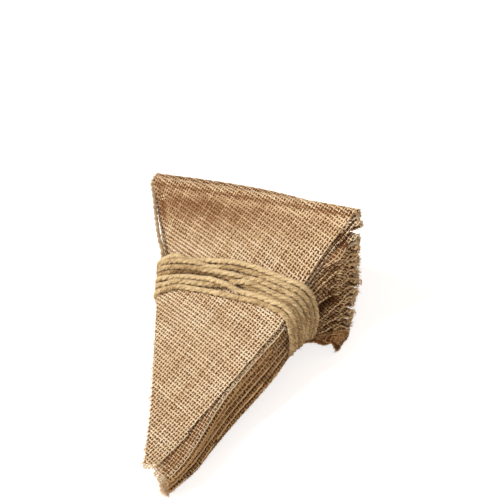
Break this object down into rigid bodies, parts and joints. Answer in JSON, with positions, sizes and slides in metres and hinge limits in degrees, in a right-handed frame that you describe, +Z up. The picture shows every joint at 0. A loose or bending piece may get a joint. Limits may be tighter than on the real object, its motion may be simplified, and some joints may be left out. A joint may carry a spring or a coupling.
{
  "type": "burlap pennant bunting, stacked and tied with twine",
  "caption": "Triangular burlap flags threaded through their hems on a jute string, folded into a stack and bound round the middle with twine.",
  "frame": {"origin": "on the surface it lies on, under the middle of its bounding box", "axes": "+Z up, out of the top flag; +Y towards the hems and -Y towards the tips; +X towards the hem ends whose corners hang lowest"},
  "size_m": [0.157, 0.1614, 0.0742],
  "materials": {
    "burlap": "coarse open plain weave of natural jute",
    "jute_twine": "hairy twisted jute"
  },
  "bodies": {
    "root": {"flag_01": "burlap", "flag_02": "burlap", "flag_03": "burlap", "flag_04": "burlap", "flag_05": "burlap", "flag_06": "burlap", "flag_07": "burlap", "flag_08": "burlap", "flag_09": "burlap", "flag_10": "burlap", "flag_11": "burlap", "flag_12": "burlap", "flag_13": "burlap", "string": "jute_twine", "twine_binding": "jute_twine"}
  },
  "joints": []
}
